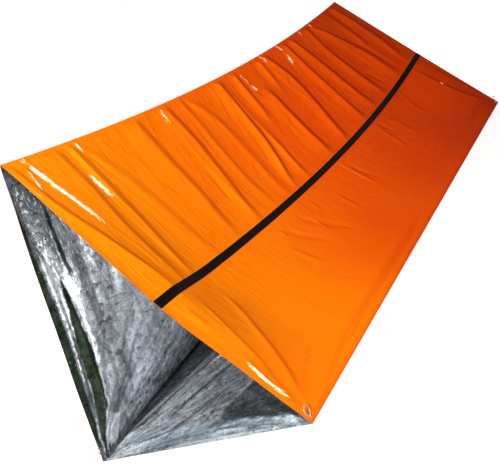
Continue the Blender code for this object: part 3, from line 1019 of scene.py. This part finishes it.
# Pegs: the same wire as the CAD model's, on a smooth path
def build_peg(end, hand, materials):
    """A peg: a straight leg with a point below, bent over at its neck into an open eye."""
    node = f"{end}_{hand}_peg"
    low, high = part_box(node)
    wide = (PEG_EYE_WIDTH - PEG_WIRE) / 2
    tall = (PEG_EYE_HEIGHT - PEG_WIRE) / 2
    middle = high[2] - PEG_WIRE / 2 - tall
    neck = middle - tall - PEG_WIRE
    tip = PEG_POINT - PEG_DEPTH
    bend_from = neck - 0.004

    def eye(angle):
        return Vector((0, wide * cos(angle), middle + tall * sin(angle)))

    path = [Vector((0, 0, -PEG_DEPTH))]
    path += [Vector((0, 0, tip + (bend_from - tip) * i / 14)) for i in range(15)]
    begin, first, bend = path[-1], Vector((0, 0, neck + 0.0008)), eye(PEG_EYE_START)
    for t in (step / 9 for step in range(1, 9)):
        over = Vector((0, -PEG_WIRE / 16, 0)) * 4 * t * (1 - t)
        path.append((1 - t) ** 2 * begin + 2 * t * (1 - t) * first + t * t * bend + over)
    path += [eye(PEG_EYE_START + (PEG_EYE_END - PEG_EYE_START) * step / 48) for step in range(49)]
    wire = bpy.data.curves.new(f"{node}_wire", "CURVE")
    wire.dimensions = "3D"
    wire.bevel_depth = PEG_WIRE / 2
    wire.bevel_resolution = 6
    wire.use_fill_caps = True
    spline = wire.splines.new("POLY")
    spline.points.add(len(path) - 1)
    for point, at in zip(spline.points, path):
        point.co = (*at, 1)
    spline.points[0].radius = 0.25
    spline.points[-1].radius = 0.92
    spline.use_smooth = True
    wire.materials.append(materials["peg"])
    peg = placed(f"{node}_wire", wire)
    inset = PEG_FROM_END / TUBE_LENGTH
    along = inset if end == "front" else 1 - inset
    peg.location = ((low[0] + high[0]) / 2, TUBE_LENGTH * (along - 0.5), 0)
    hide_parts(node)
    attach(peg, f"peg_{end}_{hand}")
    return peg


# Materials
class Nodes:
    """A short way to write a node tree: each call adds a node and links what it is given."""

    def __init__(self, owner, shader="Principled BSDF"):
        owner.use_nodes = True
        self.owner = owner
        self.tree = owner.node_tree
        self.shader = self.tree.nodes[shader]

    def put(self, socket, value):
        if isinstance(value, bpy.types.NodeSocket):
            self.tree.links.new(value, socket)
        else:
            socket.default_value = value

    def add(self, kind, inputs=(), **settings):
        node = self.tree.nodes.new(kind)
        for key, value in settings.items():
            setattr(node, key, value)
        for key, value in dict(inputs).items():
            self.put(node.inputs[key], value)
        return node

    def math(self, operation, *values):
        return self.add("ShaderNodeMath", enumerate(values), operation=operation).outputs[0]

    def vector(self, operation, inputs, output=0):
        return self.add("ShaderNodeVectorMath", inputs, operation=operation).outputs[output]

    def scaled(self, where, scale, turn=0.0):
        inputs = {"Vector": where, "Scale": (*scale, 1)[:3], "Rotation": (0, 0, turn)}
        return self.add("ShaderNodeMapping", inputs).outputs[0]

    def noise(self, where, scale, turn=0.0, detail=3.0, roughness=0.5, distortion=0.0, output=0):
        """Noise with scale features a metre each way, turned by an angle."""
        inputs = {"Vector": self.scaled(where, scale, turn), "Scale": 1.0, "Detail": detail,
                  "Roughness": roughness, "Distortion": distortion}
        return self.add("ShaderNodeTexNoise", inputs).outputs[output]

    def lines(self, where, scale, turn, width, soft, detail=0.0, roughness=0.5):
        """1 on the lines where a noise crosses its middle, 0 beyond their width."""
        field = self.noise(where, scale, turn, detail, roughness)
        near = self.math("ABSOLUTE", self.math("SUBTRACT", field, 0.5))
        return self.ranged(near, width, soft)

    def ramp(self, value, stops):
        node = self.add("ShaderNodeValToRGB", {"Fac": value})
        elements = node.color_ramp.elements
        while len(elements) < len(stops):
            elements.new(0.5)
        for element, (place, colour) in zip(elements, stops):
            element.position = place
            element.color = (*colour, 1)
        return node.outputs["Color"]

    def mix(self, factor, first, second, blend="MIX"):
        node = self.add("ShaderNodeMix", data_type="RGBA", blend_type=blend)
        for name, value in (("Factor", factor), ("A", first), ("B", second)):
            self.put(next(s for s in node.inputs if s.name == name and s.enabled), value)
        return next(s for s in node.outputs if s.enabled)

    def ranged(self, value, low, high, to_low=0.0, to_high=1.0):
        inputs = {"Value": value, "From Min": low, "From Max": high, "To Min": to_low, "To Max": to_high}
        return self.add("ShaderNodeMapRange", inputs).outputs[0]

    def bump(self, height, strength, distance, normal=None):
        inputs = {"Height": height, "Strength": strength, "Distance": distance}
        if normal is not None:
            inputs["Normal"] = normal
        return self.add("ShaderNodeBump", inputs).outputs[0]

    def sheet(self):
        """The piece's flat coordinates in metres."""
        return self.add("ShaderNodeUVMap", uv_map="sheet").outputs[0]

    def finish(self, inputs):
        """Fills the shader's inputs and gives the material back."""
        for key, value in inputs.items():
            self.put(self.shader.inputs[key], value)
        return self.owner


def film_material():
    """Orange film with painted shade, redder to the rear, painted highlights as pale streaks on creases, and
    fine crinkles.
    """
    nodes = Nodes(bpy.data.materials.new("orange_film_creased"))
    sheet = nodes.sheet()
    split = nodes.add("ShaderNodeSeparateXYZ", {"Vector": sheet}).outputs
    share = nodes.math("DIVIDE", split["X"], TUBE_LENGTH)
    wander = nodes.noise(sheet, (2.2, 1.6), 0, 2)
    # Painted shade: the orange darkens and reddens from the front to the rear
    orange_with_painted_rear_shade = nodes.ramp(nodes.math("ADD", share, nodes.ranged(wander, 0.3, 0.7, -0.05, 0.05)), (
        (0.0, (0.92, 0.228, 0.002)),
        (0.20, (0.90, 0.184, 0.001)),
        (0.35, (0.84, 0.126, 0.001)),
        (0.50, (0.79, 0.090, 0.001)),
        (0.65, (0.72, 0.064, 0.001)),
        (0.80, (0.58, 0.044, 0.001)),
        (1.0, (0.40, 0.027, 0.001)),
    ))
    cloud = nodes.ranged(nodes.noise(sheet, (9, 6), 0, 4, 0.6), 0.35, 0.75, 0.0, 0.10)
    mottled = nodes.mix(cloud, orange_with_painted_rear_shade, (0.80, 0.07, 0.002, 1))
    blotch = nodes.ranged(nodes.noise(sheet, (38, 30), 0.3, 3, 0.65), 0.50, 0.66)
    blotch = nodes.math("MULTIPLY", blotch, nodes.ranged(share, 0.35, 0.8, 0.0, 0.28))
    mottled = nodes.mix(blotch, mottled, (0.38, 0.022, 0.002, 1))
    # The painted shade and light on the mesh multiply the orange; its fourth channel places the painted
    # highlights
    painted_light = nodes.add("ShaderNodeAttribute", attribute_name="painted_light").outputs
    toned = nodes.mix(1.0, mottled, painted_light["Color"], "MULTIPLY")
    # Painted highlights: where it is creased hardest, the film is painted with pale broken streaks, cream
    # with orange fringes
    grain = nodes.ranged(nodes.noise(sheet, (170, 45), 0.1, 2, 0.6), 0.30, 0.70, -0.55, 0.25)
    painted_glint_streak = nodes.math("ADD", painted_light["Alpha"], grain)
    fringed = nodes.mix(nodes.ranged(painted_glint_streak, 0.27, 0.50), toned, (0.98, 0.42, 0.06, 1))
    coloured = nodes.mix(nodes.ranged(painted_glint_streak, 0.38, 0.72), fringed, (1.0, 0.90, 0.70, 1))
    # Fine handling creases in the film, longer down the wall than along it
    threads = nodes.noise(sheet, (70, 26), 0.12, 4, 0.55, 0.6)
    rough = nodes.ranged(nodes.noise(sheet, (30, 22)), 0.3, 0.7, 0.24, 0.36)
    drawn = nodes.noise(sheet, (34, 7), 0.06, 3, 0.55, 0.4)
    drawn = nodes.math("MULTIPLY", drawn, nodes.ranged(split["Y"], 0.55, 0.90, 1.0, 0.25))
    wrinkled = nodes.bump(drawn, 0.45, 0.0060)
    # Short sharp crinkles in broken runs, most of them in the upper half
    patchy = nodes.noise(sheet, (7, 9), 0.4, 3, 0.6)
    crinkles = 0.0
    for scale, turn, low, high in (
        ((22, 2.6), 0.08, 0.46, 0.60),
        ((13, 2.2), 0.55, 0.54, 0.40),
        ((12, 2.4), -0.50, 0.52, 0.62),
    ):
        run = nodes.math("MULTIPLY", nodes.lines(sheet, scale, turn, 0.035, 0.0),
                         nodes.ranged(patchy, low, high))
        crinkles = nodes.math("MAXIMUM", crinkles, run)
    crinkles = nodes.math("MULTIPLY", crinkles, nodes.ranged(split["Y"], 0.55, 0.85, 1.0, 0.35))
    # Painted shade along the crinkles, stronger towards the rear
    shown = nodes.math("MULTIPLY", crinkles, nodes.ranged(share, 0.2, 0.7, 0.12, 0.30))
    coloured = nodes.mix(shown, coloured, (0.40, 0.03, 0.001, 1))
    wrinkled = nodes.bump(crinkles, 0.30, 0.0035, wrinkled)
    return nodes.finish({
        "Base Color": coloured, "Roughness": rough, "Normal": nodes.bump(threads, 0.5, 0.0022, wrinkled),
        "Metallic": 0.0, "Specular IOR Level": 0.0,
        "Coat Weight": 0.03, "Coat Roughness": 0.05, "Coat IOR": 1.45,
    })


def foil_material():
    """Silver foil: crumpled facets and crease lines in painted reflections, shade and highlights, darkened
    and whitened by the painted light on the mesh.
    """
    nodes = Nodes(bpy.data.materials.new("silver_foil_crumpled"))
    sheet = nodes.sheet()
    painted_light_marks = nodes.add("ShaderNodeAttribute", attribute_name="painted_light").outputs
    bent = nodes.noise(sheet, (24, 20), 0, 2, output="Color")
    bent = nodes.vector("SCALE", {0: bent, "Scale": 0.008})
    warped = nodes.vector("ADD", {0: sheet, 1: bent})

    def facets(scale, turn):
        """Facets between crease lines: a random value for each, and the distance to its edge."""
        place = nodes.scaled(warped, (scale, scale * 0.75), turn)
        cell = nodes.add("ShaderNodeTexVoronoi", {"Vector": place, "Scale": 1.0}).outputs["Color"]
        edge = nodes.add("ShaderNodeTexVoronoi", {"Vector": place, "Scale": 1.0},
                         feature="DISTANCE_TO_EDGE")
        value = nodes.add("ShaderNodeSeparateColor", {"Color": cell}).outputs[0]
        return value, edge.outputs["Distance"]

    def tilted(scale, turn):
        """Flat facets, each tilted its own way, as crumpled foil has."""
        place = nodes.scaled(sheet, (scale, scale * 0.8), turn)
        cell = nodes.add("ShaderNodeTexVoronoi", {"Vector": place, "Scale": 1.0}).outputs
        off = nodes.vector("SUBTRACT", {0: place, 1: cell["Position"]})
        way = nodes.vector("SUBTRACT", {0: cell["Color"], 1: (0.5, 0.5, 0.5)})
        return nodes.vector("DOT_PRODUCT", {0: off, 1: way}, "Value")

    wide, wide_edge = facets(15, 0.3)
    fine, _ = facets(34, 1.1)
    # Painted reflections: the facets' silver is painted in lighter and darker greys
    cloud = nodes.noise(sheet, (9, 7), 0, 5, 0.62)
    mixed = nodes.math("MULTIPLY_ADD", fine, 0.25, nodes.math("MULTIPLY", wide, 0.25))
    base = nodes.ramp(nodes.math("MULTIPLY_ADD", cloud, 0.55, mixed), (
        (0.25, (0.46, 0.49, 0.53)),
        (0.60, (0.60, 0.64, 0.69)),
        (0.95, (0.78, 0.82, 0.87)),
    ))
    # Painted highlights: white along broken ridges between the large facets
    white = (0.98, 0.99, 1.0, 1)
    broken = nodes.noise(sheet, (34, 30), 0, 3, 0.6)
    painted_crest_white = nodes.math("MULTIPLY", nodes.ranged(wide_edge, 0.06, 0.02), nodes.ranged(broken, 0.42, 0.54))
    base = nodes.mix(nodes.math("MULTIPLY", painted_crest_white, 0.5), base, white)
    # Painted shade and highlights: broken dark and white crease lines
    patchy = nodes.noise(sheet, (22, 26), 0.7, 3, 0.6)
    for scale, turn, width, shown, colour in (
        ((13, 21), 0.5, 0.022, nodes.ranged(broken, 0.56, 0.44), (0.07, 0.075, 0.09, 1)),
        ((27, 15), 1.9, 0.020, nodes.ranged(patchy, 0.56, 0.44), (0.10, 0.105, 0.12, 1)),
        ((19, 30), 2.6, 0.020, nodes.ranged(patchy, 0.44, 0.56), white),
        ((36, 28), 1.2, 0.024, nodes.ranged(broken, 0.44, 0.56), white),
    ):
        line = nodes.math("MULTIPLY", nodes.lines(sheet, scale, turn, width, 0.3 * width, 1.5, 0.45), shown)
        base = nodes.mix(nodes.math("MULTIPLY", line, 0.7), base, colour)
    # The painted reflections and shade on the mesh multiply the silver
    silver = nodes.mix(1.0, base, painted_light_marks["Color"], "MULTIPLY")
    # Painted highlights: where the mesh's fourth channel says so, broken by fine crinkle noise, the foil is
    # painted white
    crinkle = nodes.noise(warped, (150, 46), 0.12, 4, 0.7)
    painted_shine = nodes.math("ADD", painted_light_marks["Alpha"], nodes.ranged(crinkle, 0.30, 0.70, -0.70, 0.45))
    silver = nodes.mix(nodes.ranged(painted_shine, 0.36, 0.52), silver, (0.97, 0.98, 1.0, 1))
    folded = nodes.bump(nodes.ranged(wide_edge, 0.0, 0.25), 0.35, 0.005)
    coarse = nodes.bump(tilted(38, 0.3), 0.35, 0.012, folded)
    finer = nodes.bump(tilted(90, 1.1), 0.25, 0.003, coarse)
    return nodes.finish({
        "Base Color": silver,
        "Roughness": nodes.ranged(nodes.noise(sheet, (45, 35)), 0.3, 0.7, 0.16, 0.30),
        "Normal": nodes.bump(nodes.noise(sheet, (240, 190), 0, 3, 0.6), 0.12, 0.0008, finer),
        "Metallic": 0.65, "Specular IOR Level": 0.1,
    })


def band_material():
    nodes = Nodes(bpy.data.materials.new("black_band_print"))
    speck = nodes.noise(nodes.sheet(), (260, 260), 0, 4, 0.6)
    colour = nodes.ramp(speck, ((0.35, (0.0030, 0.0022, 0.0024)), (0.72, (0.0065, 0.0045, 0.0050))))
    return nodes.finish({
        "Base Color": colour,
        "Roughness": nodes.ranged(speck, 0.3, 0.7, 0.42, 0.60),
        "Normal": nodes.bump(speck, 0.2, 0.0004),
        "Specular IOR Level": 0.02,
    })


def peg_material():
    nodes = Nodes(bpy.data.materials.new("peg_steel_drawn"))
    where = nodes.add("ShaderNodeTexCoord").outputs["Object"]
    drawn = nodes.noise(where, (900, 900, 60), 0, 3, 0.6)
    return nodes.finish({
        "Base Color": nodes.ramp(drawn, ((0.3, (0.30, 0.29, 0.28)), (0.7, (0.48, 0.46, 0.45)))),
        "Roughness": nodes.ranged(drawn, 0.3, 0.7, 0.22, 0.40),
        "Normal": nodes.bump(drawn, 0.2, 0.0003),
        "Metallic": 1.0,
    })


# Stage: a pale floor and world that look white to the camera and in reflections, and soft lamps
def shown_white(nodes):
    """1 for rays from the camera, from gloss and through glass, 0 for the rest."""
    path = nodes.add("ShaderNodeLightPath").outputs
    either = nodes.math("MAXIMUM", path["Is Camera Ray"], path["Is Glossy Ray"])
    return nodes.math("MAXIMUM", either, path["Is Transmission Ray"])


def build_stage():
    """The studio's floor and world."""
    reach = 30.0
    mesh = bpy.data.meshes.new("studio_floor")
    corners = [(x * reach, y * reach, -GROUND_DROP) for x, y in ((-1, -1), (1, -1), (1, 1), (-1, 1))]
    mesh.from_pydata(corners, [], [(0, 1, 2, 3)])
    ground = placed("studio_floor", mesh)
    nodes = Nodes(bpy.data.materials.new("studio_floor_pale"))
    place = nodes.add("ShaderNodeTexCoord").outputs["Object"]
    far = nodes.vector("LENGTH", {0: place}, "Value")
    mesh.materials.append(nodes.finish({
        "Base Color": (0.62, 0.62, 0.61, 1), "Roughness": 0.9, "Specular IOR Level": 0.0,
        "Emission Color": (1, 1, 1, 1),
        "Emission Strength": nodes.math("MULTIPLY", shown_white(nodes),
                                        nodes.ranged(far, 1.2, 4.5, 0.55, 1.0)),
    }))
    nodes = Nodes(bpy.data.worlds.new("studio_white"), "Background")
    bpy.context.scene.world = nodes.finish({
        "Color": (1, 1, 1, 1), "Strength": nodes.ranged(shown_white(nodes), 0, 1, 0.20, 1.0),
    })


def lamp(name, place, target, size, power):
    """A soft round lamp that the camera doesn't see."""
    data = bpy.data.lights.new(name, "AREA")
    data.shape = "DISK"
    data.size = size
    data.energy = power
    made = placed(name, data)
    made.location = place
    made.rotation_euler = (Vector(target) - Vector(place)).to_track_quat("-Z", "Y").to_euler()
    made.visible_camera = False


def build_lamps():
    lamp("key", (2.6, -6.6, 2.8), (0.3, 0, 0.45), 1.6, 600)
    lamp("front", (1.9, -0.9, 1.2), (0.35, -0.9, 0.45), 0.9, 8)
    lamp("entrance", (0.7, -3.4, 0.7), (-0.2, 0, 0.25), 0.8, 14)
    lamp("fill", (-3.6, -0.4, 2.4), (-0.2, 0, 0.5), 2.4, 80)
    lamp("back", (-1.6, 4.4, 2.6), (0, 0.6, 0.4), 2.2, 70)
    lamp("spark", (2.35, 0.30, 2.55), (0.25, -0.6, 0.6), 0.08, 7)


def build_camera():
    """The camera that the photograph's corners and edges were solved to."""
    azimuth, height, roll = (radians(angle) for angle in CAMERA_ANGLES)
    back = Vector((sin(azimuth) * cos(height), -cos(azimuth) * cos(height), sin(height)))
    across = (-back).cross(Vector((0, 0, 1))).normalized()
    up = across.cross(-back)
    turned = across * cos(roll) + up * sin(roll)
    raised = -across * sin(roll) + up * cos(roll)
    matrix = Matrix((turned, raised, back)).transposed().to_4x4()
    matrix.translation = Vector(CAMERA_PLACE)
    data = bpy.data.cameras.new("camera")
    data.sensor_fit = "HORIZONTAL"
    data.sensor_width = 36.0
    data.lens = FOCAL_PIXELS / PICTURE_WIDTH * data.sensor_width
    data.clip_start = 0.05
    data.clip_end = 100
    camera = placed("camera", data)
    camera.matrix_world = matrix
    bpy.context.scene.camera = camera


def main():
    bpy.context.scene.view_settings.view_transform = "Standard"
    build_camera()
    materials = {"film": film_material(), "foil": foil_material(), "band": band_material(),
                 "peg": peg_material()}
    for end in ("front", "rear"):
        for hand in ("right", "left"):
            build_peg(end, hand, materials)
    for side, hand in ((RIGHT, "right"), (LEFT, "left")):
        film, foil, stripe = build_wall(side, materials)
        for piece, slot in ((film, "orange_film"), (foil, "silver_foil"), (stripe, "black_band")):
            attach(piece, "tent")
    film, foil = build_floor(materials)
    for piece, slot in ((film, "orange_film"), (foil, "silver_foil")):
        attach(piece, "tent")
    build_stage()
    build_lamps()


main()
